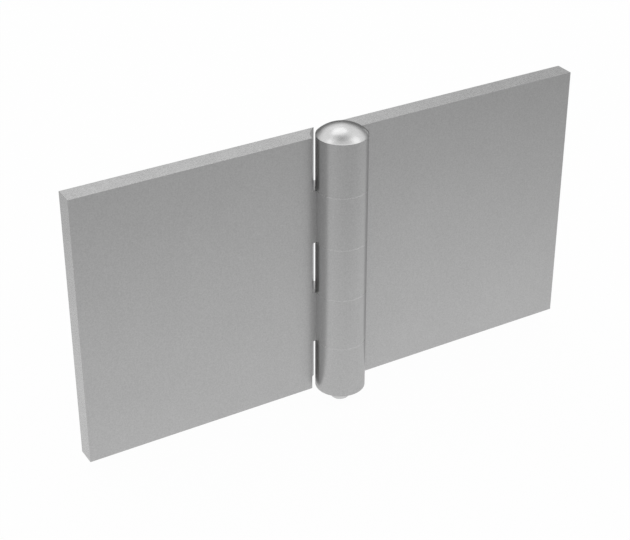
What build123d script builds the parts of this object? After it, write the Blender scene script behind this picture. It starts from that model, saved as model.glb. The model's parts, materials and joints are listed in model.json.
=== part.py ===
from build123d import *
import os

# Weld-on butt hinge, opened flat: two plain steel leaves with knuckles in one piece, and a headed pin.
# The pin stands along Z, and the origin is on its axis, half way up the leaves. The fixed leaf reaches
# out along +X and the swing leaf along -X. The barrel stands out towards -Y, and the backs of the
# leaves lie flush with the back of the barrel, at +Y. Sizes are in millimetres.

# Leaves
leaf_height = 90.0  # along the pin
leaf_reach = 87.8  # from the pin's axis to the outer edge
leaf_thickness = 6.4

# Knuckles
barrel_diameter = 16.2
knuckle_count = 5  # the odd ones, from the bottom, are on the fixed leaf
knuckle_gap = 0.05  # end play between neighbouring knuckles
knuckle_edge_break = 0.1  # chamfer where a knuckle meets its neighbours
relief_clearance = 1.55  # between a knuckle and the edge of the other leaf

# Pin
pin_diameter = 6.0
pin_clearance = 0.05  # on the radius, in every knuckle
pin_stand_out = 4.65  # plain end below the bottom knuckle
pin_end_chamfer = 0.2
head_height = 3.15
head_rim = 0.05  # straight edge below the dome

# Sizes that follow from these
barrel_radius = barrel_diameter / 2
pin_radius = pin_diameter / 2
bore_radius = pin_radius + pin_clearance
relief_radius = barrel_radius + relief_clearance
knuckle_pitch = leaf_height / knuckle_count
leaf_top = leaf_height / 2
leaf_bottom = -leaf_height / 2
leaf_middle_y = barrel_radius - leaf_thickness / 2


def knuckle_span(number, growth):
    """Low and high end of a knuckle, counted from the bottom, moved out by growth where it meets another."""
    low = leaf_bottom + number * knuckle_pitch
    high = low + knuckle_pitch
    if number > 0:
        low -= growth
    if number < knuckle_count - 1:
        high += growth
    return low, high


os.makedirs("parts", exist_ok=True)

leaves = {
    "fixed_leaf": (1, range(0, knuckle_count, 2)),
    "swing_leaf": (-1, range(1, knuckle_count, 2)),
}
for name, (side, own_knuckles) in leaves.items():
    with BuildPart() as leaf:
        # Plate, from the pin's axis to the outer edge
        with BuildSketch(Plane.XY.offset(leaf_bottom)):
            with Locations((side * leaf_reach / 2, leaf_middle_y)):
                Rectangle(leaf_reach, leaf_thickness)
        extrude(amount=leaf_height)

        for number in range(knuckle_count):
            if number in own_knuckles:
                # Knuckle, tangent to the back of the plate
                low, high = knuckle_span(number, -knuckle_gap / 2)
                with BuildSketch(Plane.XY.offset(low)):
                    Circle(barrel_radius)
                extrude(amount=high - low)
            else:
                # Room for the other leaf's knuckle, concentric with the pin
                low, high = knuckle_span(number, knuckle_gap / 2)
                with BuildSketch(Plane.XY.offset(low)):
                    Circle(relief_radius)
                extrude(amount=high - low, mode=Mode.SUBTRACT)

        # Bore for the pin
        with BuildSketch(Plane.XY.offset(leaf_bottom)):
            Circle(bore_radius)
        extrude(amount=leaf_height, mode=Mode.SUBTRACT)

        # Broken edges where a knuckle runs against its neighbours: of the circles between the two ends
        # of the leaf, those of the bores are smaller and those of the reliefs larger
        inside = leaf.edges().filter_by_position(Axis.Z, leaf_bottom, leaf_top, (False, False))
        knuckle_rims = inside.filter_by(GeomType.CIRCLE).group_by(SortBy.RADIUS)[1]
        chamfer(knuckle_rims, knuckle_edge_break)

    leaf.part.label = name
    export_step(leaf.part, f"parts/{name}.step")

with BuildPart() as hinge_pin:
    # Half section on the pin's axis: plain end, shank, seat under the head, rim and dome
    with BuildSketch(Plane.XZ):
        with BuildLine():
            end = leaf_bottom - pin_stand_out
            dome_foot = leaf_top + head_rim
            dome_crown = leaf_top + head_height
            Polyline(
                (0, dome_crown),
                (0, end),
                (pin_radius - pin_end_chamfer, end),
                (pin_radius, end + pin_end_chamfer),
                (pin_radius, leaf_top),
                (barrel_radius, leaf_top),
                (barrel_radius, dome_foot),
            )
            TangentArc((0, dome_crown), (barrel_radius, dome_foot), tangent=(1, 0))
        make_face()
    revolve(axis=Axis.Z)

hinge_pin.part.label = "hinge_pin"
export_step(hinge_pin.part, "parts/hinge_pin.step")
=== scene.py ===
import json
import math

import bmesh
import bpy
from bpy.props import FloatProperty, FloatVectorProperty, IntProperty, PointerProperty
from mathutils import Euler, Matrix, Vector


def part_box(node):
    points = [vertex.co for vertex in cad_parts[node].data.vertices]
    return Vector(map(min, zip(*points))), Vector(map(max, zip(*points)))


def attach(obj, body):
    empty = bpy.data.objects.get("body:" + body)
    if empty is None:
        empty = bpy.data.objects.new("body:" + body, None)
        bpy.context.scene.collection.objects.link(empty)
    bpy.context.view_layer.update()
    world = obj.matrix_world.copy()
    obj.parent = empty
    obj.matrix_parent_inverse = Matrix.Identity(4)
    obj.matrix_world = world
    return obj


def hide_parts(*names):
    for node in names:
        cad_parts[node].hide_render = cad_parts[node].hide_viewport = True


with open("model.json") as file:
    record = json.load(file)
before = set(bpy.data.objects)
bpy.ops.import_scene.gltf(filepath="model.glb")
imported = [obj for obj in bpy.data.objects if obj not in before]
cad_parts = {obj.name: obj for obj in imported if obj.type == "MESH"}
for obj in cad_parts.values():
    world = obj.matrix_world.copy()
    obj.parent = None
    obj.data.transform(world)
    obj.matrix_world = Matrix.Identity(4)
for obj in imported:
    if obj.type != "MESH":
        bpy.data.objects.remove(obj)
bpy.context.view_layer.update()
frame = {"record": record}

bl_info = {
    "name": "Weld-on hinge",
    "version": (1, 0, 0),
    "blender": (4, 5, 0),
    "location": "3D View > Sidebar > Hinge",
    "description": "Models a steel weld-on hinge around its solids, with its finishes and a white stage",
    "category": "Object",
}

# Units
MM = 0.001

# Sizes read from the solids: the pin stands along Z, the fixed leaf reaches out along +X and the swing
# leaf along -X, and the backs of the leaves are tangent to the barrel at +Y
leaf_low, leaf_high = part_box("fixed_leaf")
pin_low, pin_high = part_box("hinge_pin")
mount_places = {mount["name"]: Vector(mount["pos_m"]) for mount in frame["record"]["mounts"]}
slot_colours = {entry["slot"]: entry["base_color"] for entry in frame["record"]["materials"]}
barrel_radius = leaf_high.y
leaf_reach = leaf_high.x
plate_thickness = 2 * (barrel_radius - mount_places["fixed_leaf_edge"].y)

# Fineness of the meshes
TURN_SEGMENTS = 128
ARC_STEP = math.tau / TURN_SEGMENTS
ROUND_SEGMENTS = 3
CHAMFER_SEGMENTS = 1
WELD_DISTANCE = 0.001 * MM

# Angles between two faces: a flat join, an edge that is shaded sharp, and the least and most of a corner
FLAT_ANGLE = math.radians(0.5)
SHARP_ANGLE = math.radians(35)
CORNER_ANGLE = math.radians(65)
ACUTE_ANGLE = math.radians(120)

# A face looks along an axis when its normal's part on it is above the first of these, and across the axis
# when that is below the second
ALONG = math.cos(SHARP_ANGLE)
ACROSS = math.sin(SHARP_ANGLE)

# Level faces further than this from a leaf's ends lie between its knuckles
END_DEPTH = 1 * MM

# Finishes of a leaf, in the order of its materials
SATIN, SAWN, TURNED, MILLED = range(4)

# Grain of the finishes, in spots to the metre, with the drawing lines stretched along the pin
SATIN_GRAIN = 2200
SATIN_CLOUDS = 55
DRAWN_LINES = (2200, 2200, 60)
SAWN_SPECKLE = 2900
SAWN_CLOUDS = 140
MILLED_GRAIN = 2200
TURNED_RINGS = 2400
TURNED_PATCHES = 900

# Middle of a noise's values, which go from 0 to 1
NOISE_MIDDLE = 0.5

# Sockets of a Mix node for colours, by number because its other kinds of socket have the same names
MIX_AMOUNT, MIX_FROM, MIX_TO = 0, 6, 7
MIX_RESULT = 2

# Floor: half its width in metres, and how much of what the camera and the steel see of it is plain white.
# In the steel's reflections that dims away from a line behind the hinge, by so much for each metre, down to
# an edge value
FLOOR_HALF_WIDTH = 40.0
FLOOR_WHITENESS = 0.97
POOL_CENTRE = Vector((0, 60 * MM, pin_low.z))
POOL_HALF_LENGTH = leaf_reach / 2
POOL_FALL = 1.8
POOL_EDGE = 0.4

# Sky: its brightness at heights above the horizon, in degrees
SKY_STOPS = (
    (0, 0.2),
    (12, 0.35),
    (18, 0.44),
    (23, 0.6),
    (27, 0.8),
    (31, 0.92),
    (38, 1.0),
    (60, 0.97),
    (75, 0.77),
    (90, 0.42),
)

# Softboxes: how far they stand from the hinge in metres, and for each one its direction, as a turn from +X
# and a height in degrees, its width in metres and its radiance
LAMP_DISTANCE = 0.8
LAMPS = {
    "back_softbox": (71, 64, 0.44, 0.52),
    "right_softbox": (-29, 55, 0.36, 0.4),
    "left_softbox": (158, 58, 0.28, 0.36),
    "low_softbox": (72, 29, 0.51, 0.16),
    "rim_softbox": (33, 4, 0.2, 0.6),
}

# Camera: width of its sensor in millimetres, and how near it sees
SENSOR_WIDTH = 36.0
CLIP_START = 10 * MM


# Settings


class HingeLeafSettings(bpy.types.PropertyGroup):
    """Sizes of the two leaves and their knuckles."""

    thickness: FloatProperty(
        name="Thickness",
        description="Thickness of each plate",
        default=plate_thickness,
        subtype="DISTANCE",
    )
    knuckles: IntProperty(
        name="Knuckles",
        description="Knuckles along the barrel, shared out in turn from the fixed leaf's at the bottom",
        default=5,
        min=3,
    )
    play: FloatProperty(
        name="Play",
        description="Gap between neighbouring knuckles",
        default=0.005 * MM,
        subtype="DISTANCE",
    )
    relief: FloatProperty(
        name="Relief",
        description="Room between a knuckle and the edge of the other leaf",
        default=1.52 * MM,
        subtype="DISTANCE",
    )
    edge_break: FloatProperty(
        name="Edge break",
        description="Width of the rounding on the outer edges",
        default=0.12 * MM,
        subtype="DISTANCE",
    )
    rim_chamfer: FloatProperty(
        name="Rim chamfer",
        description="Chamfer where each knuckle meets its neighbours",
        default=0.065 * MM,
        subtype="DISTANCE",
    )


class HingePinSettings(bpy.types.PropertyGroup):
    """Sizes of the headed pin."""

    diameter: FloatProperty(
        name="Diameter",
        description="Diameter of the shank",
        default=6.0 * MM,
        subtype="DISTANCE",
    )
    clearance: FloatProperty(
        name="Clearance",
        description="Gap around the shank in every knuckle",
        default=0.05 * MM,
        subtype="DISTANCE",
    )
    seat: FloatProperty(
        name="Seat",
        description="Depth of the head's seat in the top knuckle, below the tops of the leaves",
        default=0.18 * MM,
        subtype="DISTANCE",
    )
    rim: FloatProperty(
        name="Rim",
        description="Straight edge of the head, below its dome",
        default=0.05 * MM,
        subtype="DISTANCE",
    )
    end_chamfer: FloatProperty(
        name="End chamfer",
        description="Chamfer at the plain end",
        default=0.2 * MM,
        subtype="DISTANCE",
    )
    edge_break: FloatProperty(
        name="Edge break",
        description="Width of the rounding on the turned edges",
        default=0.02 * MM,
        subtype="DISTANCE",
    )


class HingeFinishSettings(bpy.types.PropertyGroup):
    """Colours of the finishes."""

    leaf_colour: FloatVectorProperty(
        name="Leaf",
        description="Satin steel of the plates and knuckles",
        default=slot_colours["leaf_steel"],
        subtype="COLOR",
    )
    sawn_colour: FloatVectorProperty(
        name="Sawn edge",
        description="Bare cut steel on the ends and outer edges of the leaves",
        default=(0.51, 0.51, 0.51),
        subtype="COLOR",
    )
    milled_colour: FloatVectorProperty(
        name="Milled slot",
        description="Milled steel of the slots that the other leaf's knuckles turn in",
        default=(0.4, 0.4, 0.4),
        subtype="COLOR",
    )
    pin_colour: FloatVectorProperty(
        name="Pin",
        description="Bright turned steel of the pin and of the knuckles' rims",
        default=slot_colours["pin_steel"],
        subtype="COLOR",
    )


class HingeStageSettings(bpy.types.PropertyGroup):
    """Camera and floor."""

    azimuth: FloatProperty(
        name="Azimuth",
        description="Turn of the camera round the hinge, from straight in front",
        default=math.radians(-30.524),
        subtype="ANGLE",
    )
    elevation: FloatProperty(
        name="Elevation",
        description="Height of the camera above the horizon",
        default=math.radians(30.211),
        subtype="ANGLE",
    )
    distance: FloatProperty(
        name="Distance",
        description="From the camera to the point it looks at",
        default=499.76 * MM,
        subtype="DISTANCE",
    )
    aim: FloatVectorProperty(
        name="Aim",
        description="Point that the camera looks at",
        default=(-7.545 * MM, 3.263 * MM, -1.778 * MM),
        subtype="TRANSLATION",
    )
    lens: FloatProperty(
        name="Lens",
        description="Focal length of the camera, in millimetres",
        default=91.06,
        subtype="DISTANCE_CAMERA",
    )
    floor_colour: FloatVectorProperty(
        name="Floor",
        description="Colour of the floor",
        default=(0.85, 0.85, 0.85),
        subtype="COLOR",
    )


# Meshes


def edge_arc(bm, start, angle, centre=(0, 0, 0), axis=(0, 0, 1)):
    """Spins a vertex into a row of edges, about the pin's axis or another, and returns the last vertex."""
    steps = max(1, round(abs(angle) / ARC_STEP))
    spun = bmesh.ops.spin(bm, geom=[start], cent=centre, axis=axis, angle=angle, steps=steps)
    return next(part for part in spun["geom_last"] if isinstance(part, bmesh.types.BMVert))


def on_circle(edge, radius):
    """Whether both ends of an edge lie on a circle about the pin's axis."""
    return all(abs(vert.co.xy.length - radius) < WELD_DISTANCE for vert in edge.verts)


def take_new_edges(bm, known):
    """Edges that a set of known ones lacks, which it then holds too."""
    new = [edge for edge in bm.edges if edge not in known]
    known.update(new)
    return new


def add_plate_section(bm, front_y, relief_radius):
    """Face of the plate's section at the bottom, hollowed by the relief arc where it nears the barrel."""
    relief_front = math.asin(front_y / relief_radius)
    relief_back = math.asin(barrel_radius / relief_radius)
    arc_start = bm.verts.new((relief_radius * math.cos(relief_front), front_y, leaf_low.z))
    nose = edge_arc(bm, arc_start, relief_back - relief_front)
    outer_back = bm.verts.new((leaf_reach, barrel_radius, leaf_low.z))
    outer_front = bm.verts.new((leaf_reach, front_y, leaf_low.z))
    for pair in ((nose, outer_back), (outer_back, outer_front), (outer_front, arc_start)):
        bm.edges.new(pair)
    return bmesh.ops.contextual_create(bm, geom=bm.edges[:])["faces"][0]


def add_knuckle_section(bm, plate, front_y, relief_radius, bore_radius):
    """Section of a knuckle beside the plate's: two half rings, and a web from them to the relief arc."""
    level = plate.verts[0].co.z
    relief = [edge for edge in plate.edges if on_circle(edge, relief_radius)]
    relief_ends = sorted({vert for edge in relief for vert in edge.verts}, key=lambda vert: vert.co.y)
    known = set(bm.edges)

    # Outside of the barrel, from the crease where it leaves the plate, round the front to the back
    crease_turn = math.asin(front_y / barrel_radius)
    crease = bm.verts.new((math.sqrt(barrel_radius**2 - front_y**2), front_y, level))
    barrel_front = edge_arc(bm, crease, -math.pi / 2 - crease_turn)
    barrel_back = edge_arc(bm, barrel_front, -math.pi)
    outside = take_new_edges(bm, known)

    # Rest of the barrel's circle, where the web joins it, closed at the crease
    web_end = edge_arc(bm, barrel_back, crease_turn - math.pi / 2)
    bmesh.ops.pointmerge(bm, verts=[crease, web_end], merge_co=crease.co)
    web_arc = take_new_edges(bm, known)

    # Bore, the seams between the half rings, and the web's straight sides
    lift = Matrix.Translation((0, 0, level))
    circle = bmesh.ops.create_circle(bm, segments=TURN_SEGMENTS // 2, radius=bore_radius, matrix=lift)
    bore_front, *_, bore_back = sorted(circle["verts"], key=lambda vert: vert.co.y)
    bore = take_new_edges(bm, known)
    web_sides = [bm.edges.new((relief_ends[0], crease)), bm.edges.new((barrel_back, relief_ends[-1]))]
    seams = [bm.edges.new((bore_front, barrel_front)), bm.edges.new((bore_back, barrel_back))]

    near_plate = [edge for edge in outside + bore if edge.verts[0].co.x + edge.verts[1].co.x > 0]
    far_side = [edge for edge in outside + bore if edge not in near_plate]
    section = []
    for outline in (relief + web_arc + web_sides, near_plate + web_arc + seams, far_side + seams):
        section += bmesh.ops.contextual_create(bm, geom=outline)["faces"]
    return section


def outer_edges(bm, bore_radius):
    """Corners of a leaf that a hand would feel: not the bore's, and not the thin noses of the reliefs."""
    clear_of_bore = bore_radius + WELD_DISTANCE
    corners = [edge for edge in bm.edges if CORNER_ANGLE < edge.calc_face_angle_signed() < ACUTE_ANGLE]
    return {edge for edge in corners if any(vert.co.xy.length > clear_of_bore for vert in edge.verts)}


def slot_rims(bm):
    """Edges of the level faces between a leaf's two ends, where its knuckles meet their neighbours."""
    level = [face for face in bm.faces if abs(face.normal.z) > ALONG]
    inside = [face for face in level if abs(face.calc_center_median().z) < leaf_high.z - END_DEPTH]
    return {edge for face in inside for edge in face.edges}


def break_edges(bm, edges, width, segments):
    """Takes the corner off edges by a small width, flat with one segment and round with more."""
    bmesh.ops.bevel(
        bm,
        geom=list(edges),
        offset=width,
        offset_type="OFFSET",
        affect="EDGES",
        segments=segments,
        profile=0.5,
        material=-1,
        clamp_overlap=True,
    )


def raise_faces(bm, faces, top):
    """Extrudes level faces up to a height, and returns the new faces there."""
    rise = top - faces[0].verts[0].co.z
    grown = bmesh.ops.extrude_face_region(bm, geom=faces)["geom"]
    raised = [part for part in grown if isinstance(part, bmesh.types.BMVert)]
    bmesh.ops.translate(bm, verts=raised, vec=(0, 0, rise))
    return [part for part in grown if isinstance(part, bmesh.types.BMFace)]


def mark_finishes(bm, edge_break, relief_radius):
    """Sets the finish of each face of a leaf: sawn ends and outer edge, turned rims and milled slots."""
    for face in bm.faces:
        centre = face.calc_center_bounds()
        at_end = abs(centre.z) > leaf_high.z - edge_break
        at_edge = abs(face.normal.x) > ALONG and abs(centre.x) > leaf_reach - edge_break
        if at_edge or at_end and abs(face.normal.z) > ALONG:
            face.material_index = SAWN
        elif not at_end and ACROSS < abs(face.normal.z) < ALONG:
            face.material_index = TURNED
        elif barrel_radius + edge_break < centre.xy.length < relief_radius + WELD_DISTANCE:
            face.material_index = MILLED
        else:
            face.material_index = SATIN


def model_leaf(leaf, pin, side, own_knuckles):
    """Mesh of one leaf: its section extruded up the pin, knuckle by knuckle, with its edges broken."""
    front_y = barrel_radius - leaf.thickness
    relief_radius = barrel_radius + leaf.relief
    bore_radius = pin.diameter / 2 + pin.clearance
    pitch = (leaf_high.z - leaf_low.z) / leaf.knuckles

    bm = bmesh.new()
    plate = add_plate_section(bm, front_y, relief_radius)
    for number in range(leaf.knuckles):
        region = [plate]
        owned = number in own_knuckles
        if owned:
            region += add_knuckle_section(bm, plate, front_y, relief_radius, bore_radius)
        top = leaf_low.z + (number + 1) * pitch
        if number < leaf.knuckles - 1:
            top += leaf.play / 2 * (-1 if owned else 1)
        elif owned:
            top -= pin.seat
        raised = raise_faces(bm, region, top)
        if number > 0:
            bmesh.ops.delete(bm, geom=[plate], context="FACES_ONLY")
        *knuckle, plate = sorted(raised, key=lambda face: face.calc_center_median().x)
    if knuckle:
        # Beside the seat of the pin's head, the web and the plate go on up to the end of the leaf
        web_and_plate = [knuckle[-1], plate]
        raise_faces(bm, web_and_plate, leaf_high.z)
        bmesh.ops.delete(bm, geom=web_and_plate, context="FACES")

    bmesh.ops.remove_doubles(bm, verts=bm.verts[:], dist=WELD_DISTANCE)
    bmesh.ops.recalc_face_normals(bm, faces=bm.faces[:])
    bmesh.ops.dissolve_limit(bm, angle_limit=FLAT_ANGLE, verts=bm.verts[:], edges=bm.edges[:])
    break_edges(bm, outer_edges(bm, bore_radius) & slot_rims(bm), leaf.rim_chamfer, CHAMFER_SEGMENTS)
    break_edges(bm, outer_edges(bm, bore_radius) - slot_rims(bm), leaf.edge_break, ROUND_SEGMENTS)
    if side < 0:
        bmesh.ops.scale(bm, vec=(-1, 1, 1), verts=bm.verts[:])
        bmesh.ops.recalc_face_normals(bm, faces=bm.faces[:])
    mark_finishes(bm, leaf.edge_break, relief_radius)
    return bm


def model_pin(pin):
    """Mesh of the pin: half its section, spun about its axis."""
    shank_radius = pin.diameter / 2
    seat_height = leaf_high.z - pin.seat
    dome_foot = seat_height + pin.rim
    dome_height = pin_high.z - dome_foot
    dome_radius = (barrel_radius**2 + dome_height**2) / (2 * dome_height)
    dome_angle = math.asin(barrel_radius / dome_radius)

    bm = bmesh.new()
    crown = bm.verts.new((0, 0, pin_high.z))
    last = edge_arc(bm, crown, dome_angle, centre=(0, 0, pin_high.z - dome_radius), axis=(0, 1, 0))
    outline = (
        (barrel_radius, seat_height),
        (shank_radius, seat_height),
        (shank_radius, pin_low.z + pin.end_chamfer),
        (shank_radius - pin.end_chamfer, pin_low.z),
        (0, pin_low.z),
    )
    for radius, height in outline:
        corner = bm.verts.new((radius, 0, height))
        bm.edges.new((last, corner))
        last = corner
    bmesh.ops.spin(
        bm,
        geom=bm.verts[:] + bm.edges[:],
        cent=(0, 0, 0),
        axis=(0, 0, 1),
        angle=math.tau,
        steps=TURN_SEGMENTS,
        use_merge=True,
    )
    bmesh.ops.remove_doubles(bm, verts=bm.verts[:], dist=WELD_DISTANCE)
    bmesh.ops.recalc_face_normals(bm, faces=bm.faces[:])
    turned = [edge for edge in bm.edges if edge.calc_face_angle_signed() > SHARP_ANGLE]
    break_edges(bm, turned, pin.edge_break, ROUND_SEGMENTS)
    return bm


def add_piece(name, bm, materials):
    """Object of a finished mesh, shaded smooth but for its sharp edges."""
    open_edges = [edge for edge in bm.edges if not edge.is_manifold]
    if open_edges:
        raise RuntimeError(f"{name} isn't closed: {len(open_edges)} edges")
    for face in bm.faces:
        face.smooth = True
    mesh = bpy.data.meshes.new(name)
    bm.to_mesh(mesh)
    bm.free()
    mesh.set_sharp_from_angle(angle=SHARP_ANGLE)
    for material in materials:
        mesh.materials.append(material)
    piece = bpy.data.objects.new(name, mesh)
    bpy.context.scene.collection.objects.link(piece)
    normals = piece.modifiers.new("Flat faces stay flat", "WEIGHTED_NORMAL")
    normals.keep_sharp = True
    return piece


# Materials


class Shade:
    """A socket of a node tree. Arithmetic on it adds Math nodes, and add() makes any other node."""

    def __init__(self, tree, socket=None):
        self.tree = tree
        self.socket = socket

    def add(self, kind, settings=None, inputs=None, output=0):
        """New node of a kind, with its settings made first and then its sockets' values or links."""
        node = self.tree.nodes.new(kind)
        for name, value in (settings or {}).items():
            if name == "stops":
                set_stops(node.color_ramp, value)
            else:
                setattr(node, name, value)
        for name, value in (inputs or {}).items():
            if isinstance(value, Shade):
                self.tree.links.new(value.socket, node.inputs[name])
            else:
                node.inputs[name].default_value = value
        return Shade(self.tree, node.outputs[output] if node.outputs else None)

    def maths(self, operation, first, second):
        """Math node on two values."""
        return self.add("ShaderNodeMath", {"operation": operation}, {0: first, 1: second})

    def vector_maths(self, operation, *vectors, output="Vector"):
        """Vector Math node on one vector or two."""
        return self.add("ShaderNodeVectorMath", {"operation": operation}, dict(enumerate(vectors)), output)

    def __add__(self, other):
        return self.maths("ADD", self, other)

    def __radd__(self, other):
        return self.maths("ADD", other, self)

    def __sub__(self, other):
        return self.maths("SUBTRACT", self, other)

    def __rsub__(self, other):
        return self.maths("SUBTRACT", other, self)

    def __mul__(self, other):
        return self.maths("MULTIPLY", self, other)

    def __rmul__(self, other):
        return self.maths("MULTIPLY", other, self)


def set_stops(ramp, stops):
    """Gives a new colour ramp, which has two stops, its greys at places from 0 to 1."""
    ramp.elements.remove(ramp.elements[1])
    for number, (place, grey) in enumerate(stops):
        stop = ramp.elements.new(place) if number > 0 else ramp.elements[0]
        stop.position = place
        stop.color = (grey, grey, grey, 1)


def new_tree(owner):
    """Empty node tree of a material or world, as a Shade to build on."""
    owner.use_nodes = True
    owner.node_tree.nodes.clear()
    return Shade(owner.node_tree)


def noise(shade, place, scale=1, detail=2):
    """Noise texture, from 0 to 1."""
    return shade.add("ShaderNodeTexNoise", None, {"Vector": place, "Scale": scale, "Detail": detail})


def stretched(shade, place, scale):
    """Object coordinates scaled unevenly, for a grain that runs one way."""
    return shade.add("ShaderNodeMapping", None, {"Vector": place, "Scale": scale})


def tinted(shade, colour, amount, spread):
    """A colour that goes from darker to lighter, by a spread either way, as an amount goes from 0 to 1."""
    dark, light = ((*(channel * (1 + change) for channel in colour), 1) for change in (-spread, spread))
    colours = {MIX_AMOUNT: amount, MIX_FROM: dark, MIX_TO: light}
    return shade.add("ShaderNodeMix", {"data_type": "RGBA"}, colours, output=MIX_RESULT)


def contrast(amount, gain):
    """Spreads the values of a noise about their middle."""
    return gain * (amount - NOISE_MIDDLE) + NOISE_MIDDLE


def steel(name, colour):
    """New material for a steel surface, its tree and the place on the surface that its patterns follow."""
    material = bpy.data.materials.new(name)
    material.diffuse_color = (*colour, 1)
    shade = new_tree(material)
    place = shade.add("ShaderNodeTexCoord", output="Object")
    return material, shade, place


def finish_steel(shade, colour, roughness, height, depth, metallic=1.0, edge_tint=1.0):
    """Joins colour, roughness and relief in one metal shader."""
    relief = shade.add("ShaderNodeBump", None, {"Strength": 1.0, "Distance": depth, "Height": height})
    metal = shade.add(
        "ShaderNodeBsdfPrincipled",
        None,
        {
            "Base Color": colour,
            "Metallic": metallic,
            "Roughness": roughness,
            "Specular Tint": (edge_tint, edge_tint, edge_tint, 1),
            "Normal": relief,
        },
    )
    shade.add("ShaderNodeOutputMaterial", None, {"Surface": metal})


def satin_steel(colour):
    """Satin steel of the plates and knuckles: a fine grain, faint clouds, and drawing lines up the pin."""
    material, shade, place = steel("satin_steel", colour)
    grain = noise(shade, place, SATIN_GRAIN)
    drawn = noise(shade, stretched(shade, place, DRAWN_LINES), detail=3)
    cloud = noise(shade, place, SATIN_CLOUDS)
    amount = contrast(0.8 * grain + 0.05 * drawn + 0.15 * cloud, gain=2)
    finish_steel(
        shade,
        colour=tinted(shade, colour, amount, spread=0.12),
        roughness=0.26 + 0.06 * grain + 0.04 * cloud,
        height=grain + 0.1 * drawn,
        depth=0.003 * MM,
        metallic=0.78,
        edge_tint=0.8,
    )
    return material


def sawn_steel(colour):
    """Bare cut steel of the ends and outer edges: a coarser, lighter speckle."""
    material, shade, place = steel("sawn_steel", colour)
    speckle = noise(shade, place, SAWN_SPECKLE)
    cloud = noise(shade, place, SAWN_CLOUDS)
    amount = contrast(0.85 * speckle + 0.15 * cloud, gain=2.5)
    finish_steel(
        shade,
        colour=tinted(shade, colour, amount, spread=0.2),
        roughness=0.22 + 0.14 * speckle,
        height=speckle,
        depth=0.01 * MM,
    )
    return material


def milled_steel(colour):
    """Milled steel of the slots: duller, with a fine even grain."""
    material, shade, place = steel("milled_steel", colour)
    grain = noise(shade, place, MILLED_GRAIN)
    finish_steel(
        shade,
        colour=tinted(shade, colour, grain, spread=0.1),
        roughness=0.3 + 0.1 * grain,
        height=grain,
        depth=0.003 * MM,
    )
    return material


def turned_steel(name, colour):
    """Bright turned steel: faint rings about the pin's axis, and a faint mottling."""
    material, shade, place = steel(name, colour)
    radius = shade.vector_maths("LENGTH", shade.vector_maths("MULTIPLY", place, (1, 1, 0)), output="Value")
    height = shade.add("ShaderNodeSeparateXYZ", None, {0: place}, output="Z")
    across = shade.add("ShaderNodeCombineXYZ", None, {"X": radius, "Z": height})
    rings = noise(shade, across, TURNED_RINGS)
    patches = noise(shade, place, TURNED_PATCHES)
    amount = contrast(0.4 * rings + 0.6 * patches, gain=2)
    finish_steel(
        shade,
        colour=tinted(shade, colour, amount, spread=0.06),
        roughness=0.17 + 0.06 * rings + 0.06 * patches,
        height=rings + 12 * patches,
        depth=0.002 * MM,
        edge_tint=0.5,
    )
    return material


# Stage


def light_path(shade, kind):
    """1 for a ray of this kind, and 0 for others."""
    return shade.add("ShaderNodeLightPath", output=f"Is {kind} Ray")


def mixed_shaders(shade, share, first, second):
    """Mix of two shaders, from all of the first at a share of 0 to all of the second at 1."""
    return shade.add("ShaderNodeMixShader", None, {0: share, 1: first, 2: second})


def pool_of_light(shade):
    """1 along a line behind the hinge, falling off with the distance from it."""
    place = shade.add("ShaderNodeTexCoord", output="Object")
    outwards = shade.vector_maths("ABSOLUTE", shade.vector_maths("SUBTRACT", place, POOL_CENTRE))
    past_line = shade.vector_maths("SUBTRACT", outwards, (POOL_HALF_LENGTH, 0, 0))
    clear = shade.vector_maths("MAXIMUM", past_line, (0, 0, 0))
    distance = shade.vector_maths("LENGTH", clear, output="Value")
    return shade.maths("MAXIMUM", 1 - POOL_FALL * distance, POOL_EDGE)


def white_floor(colour):
    """Pale floor that shows white, dims away from the hinge in its reflections, and keeps its shadow."""
    material = bpy.data.materials.new("white_floor")
    shade = new_tree(material)
    camera = light_path(shade, "Camera")
    mirrored = shade.maths("MAXIMUM", light_path(shade, "Glossy"), light_path(shade, "Transmission"))
    brightness = shade.maths("MAXIMUM", camera, mirrored * pool_of_light(shade))
    seen = shade.maths("MAXIMUM", camera, mirrored)
    matt = shade.add("ShaderNodeBsdfDiffuse", None, {"Color": (*colour, 1)})
    dark = shade.add("ShaderNodeEmission", None, {"Color": (0, 0, 0, 1), "Strength": 0.0})
    white = shade.add("ShaderNodeEmission", None, {"Color": (1, 1, 1, 1), "Strength": 1.0})
    glow = mixed_shaders(shade, brightness, dark, white)
    lit = mixed_shaders(shade, FLOOR_WHITENESS * seen, matt, glow)
    shade.add("ShaderNodeOutputMaterial", None, {"Surface": lit})
    return material


def studio_world():
    """Soft surroundings: dim at the horizon, white half way up and grey overhead."""
    world = bpy.data.worlds.new("studio")
    shade = new_tree(world)
    direction = shade.add("ShaderNodeTexCoord", output="Generated")
    height = shade.add("ShaderNodeSeparateXYZ", None, {0: direction}, output="Z")
    stops = [(math.sin(math.radians(elevation)), grey) for elevation, grey in SKY_STOPS]
    sky = shade.add("ShaderNodeValToRGB", {"stops": stops}, {0: height})
    light = shade.add("ShaderNodeBackground", None, {"Color": sky, "Strength": 1.0})
    shade.add("ShaderNodeOutputWorld", None, {"Surface": light})
    return world


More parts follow.
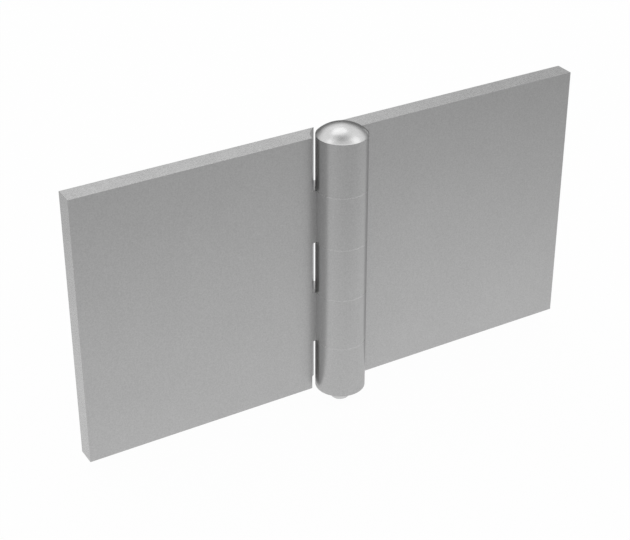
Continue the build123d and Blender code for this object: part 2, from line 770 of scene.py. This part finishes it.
def add_lamp(name, azimuth, elevation, width, radiance):
    """Round softbox that looks at the hinge from a direction given in degrees."""
    turn, rise = math.radians(azimuth), math.radians(elevation)
    towards = Vector((math.cos(turn) * math.cos(rise), math.sin(turn) * math.cos(rise), math.sin(rise)))
    area = math.pi * (width / 2) ** 2
    lamp = bpy.data.lights.new(name, "AREA")
    lamp.shape = "DISK"
    lamp.size = width
    lamp.energy = math.pi * radiance * area
    placed = bpy.data.objects.new(name, lamp)
    placed.location = towards * LAMP_DISTANCE
    placed.rotation_euler = towards.to_track_quat("Z", "Y").to_euler()
    bpy.context.scene.collection.objects.link(placed)


def add_camera(stage):
    """Camera at the viewing angle, looking at its aim."""
    camera = bpy.data.cameras.new("camera")
    camera.lens = stage.lens
    camera.sensor_width = SENSOR_WIDTH
    camera.clip_start = CLIP_START
    turn = Euler((math.pi / 2 - stage.elevation, 0, stage.azimuth))
    placed = bpy.data.objects.new("camera", camera)
    placed.rotation_euler = turn
    placed.location = Vector(stage.aim) + turn.to_matrix() @ Vector((0, 0, stage.distance))
    bpy.context.scene.collection.objects.link(placed)
    bpy.context.scene.camera = placed


# Operators


class HINGE_OT_build_leaves(bpy.types.Operator):
    """Model the fixed leaf and the swing leaf, with their interleaved knuckles"""

    bl_idname = "hinge.build_leaves"
    bl_label = "Build leaves"

    def execute(self, context):
        scene = context.scene
        finishes = scene.hinge_finish
        materials = [
            satin_steel(finishes.leaf_colour),
            sawn_steel(finishes.sawn_colour),
            turned_steel("turned_rims", finishes.pin_colour),
            milled_steel(finishes.milled_colour),
        ]
        count = scene.hinge_leaf.knuckles
        leaves = (
            ("fixed_leaf_steel", "fixed_leaf", "fixed", 1, range(0, count, 2)),
            ("swing_leaf_steel", "swing_leaf", "swing", -1, range(1, count, 2)),
        )
        for name, node, body, side, own_knuckles in leaves:
            mesh = model_leaf(scene.hinge_leaf, scene.hinge_pin, side, own_knuckles)
            piece = add_piece(name, mesh, materials)
            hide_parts(node)
            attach(piece, body)
        return {"FINISHED"}


class HINGE_OT_build_pin(bpy.types.Operator):
    """Model the headed pin through the knuckles"""

    bl_idname = "hinge.build_pin"
    bl_label = "Build pin"

    def execute(self, context):
        scene = context.scene
        material = turned_steel("turned_pin", scene.hinge_finish.pin_colour)
        piece = add_piece("hinge_pin_steel", model_pin(scene.hinge_pin), [material])
        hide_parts("hinge_pin")
        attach(piece, "fixed")
        return {"FINISHED"}


class HINGE_OT_set_stage(bpy.types.Operator):
    """Lay the floor, light the hinge and place the camera"""

    bl_idname = "hinge.set_stage"
    bl_label = "Set stage"

    def execute(self, context):
        scene = context.scene
        bm = bmesh.new()
        bmesh.ops.create_grid(bm, x_segments=1, y_segments=1, size=FLOOR_HALF_WIDTH)
        bmesh.ops.translate(bm, verts=bm.verts[:], vec=(0, 0, pin_low.z))
        mesh = bpy.data.meshes.new("floor")
        bm.to_mesh(mesh)
        bm.free()
        mesh.materials.append(white_floor(scene.hinge_stage.floor_colour))
        floor = bpy.data.objects.new("floor", mesh)
        scene.collection.objects.link(floor)

        scene.world = studio_world()
        for name, lamp in LAMPS.items():
            add_lamp(name, *lamp)
        add_camera(scene.hinge_stage)
        scene.view_settings.view_transform = "Standard"
        return {"FINISHED"}


class HINGE_PT_sidebar(bpy.types.Panel):
    """Settings and steps of the hinge"""

    bl_label = "Weld-on hinge"
    bl_space_type = "VIEW_3D"
    bl_region_type = "UI"
    bl_category = "Hinge"

    def draw(self, context):
        for operator, settings in PANEL_ROWS:
            column = self.layout.column(align=True)
            for group in settings:
                values = getattr(context.scene, group)
                for name in values.bl_rna.properties.keys():
                    if name not in ("rna_type", "name"):
                        column.prop(values, name)
            column.operator(operator)


PANEL_ROWS = (
    ("hinge.build_leaves", ("hinge_leaf", "hinge_finish")),
    ("hinge.build_pin", ("hinge_pin",)),
    ("hinge.set_stage", ("hinge_stage",)),
)
SETTINGS = {
    "hinge_leaf": HingeLeafSettings,
    "hinge_pin": HingePinSettings,
    "hinge_finish": HingeFinishSettings,
    "hinge_stage": HingeStageSettings,
}
CLASSES = (HINGE_OT_build_leaves, HINGE_OT_build_pin, HINGE_OT_set_stage, HINGE_PT_sidebar)


def register():
    """Adds the settings to every scene, then the operators and the panel."""
    for name, group in SETTINGS.items():
        bpy.utils.register_class(group)
        setattr(bpy.types.Scene, name, PointerProperty(type=group))
    for kind in CLASSES:
        bpy.utils.register_class(kind)


def unregister():
    """Takes away what register() added, in the opposite order."""
    for kind in reversed(CLASSES):
        bpy.utils.unregister_class(kind)
    for name, group in reversed(SETTINGS.items()):
        delattr(bpy.types.Scene, name)
        bpy.utils.unregister_class(group)


def main():
    """Builds the hinge on its stage."""
    register()
    bpy.ops.hinge.build_leaves()
    bpy.ops.hinge.build_pin()
    bpy.ops.hinge.set_stage()


if __name__ == "__main__":
    main()
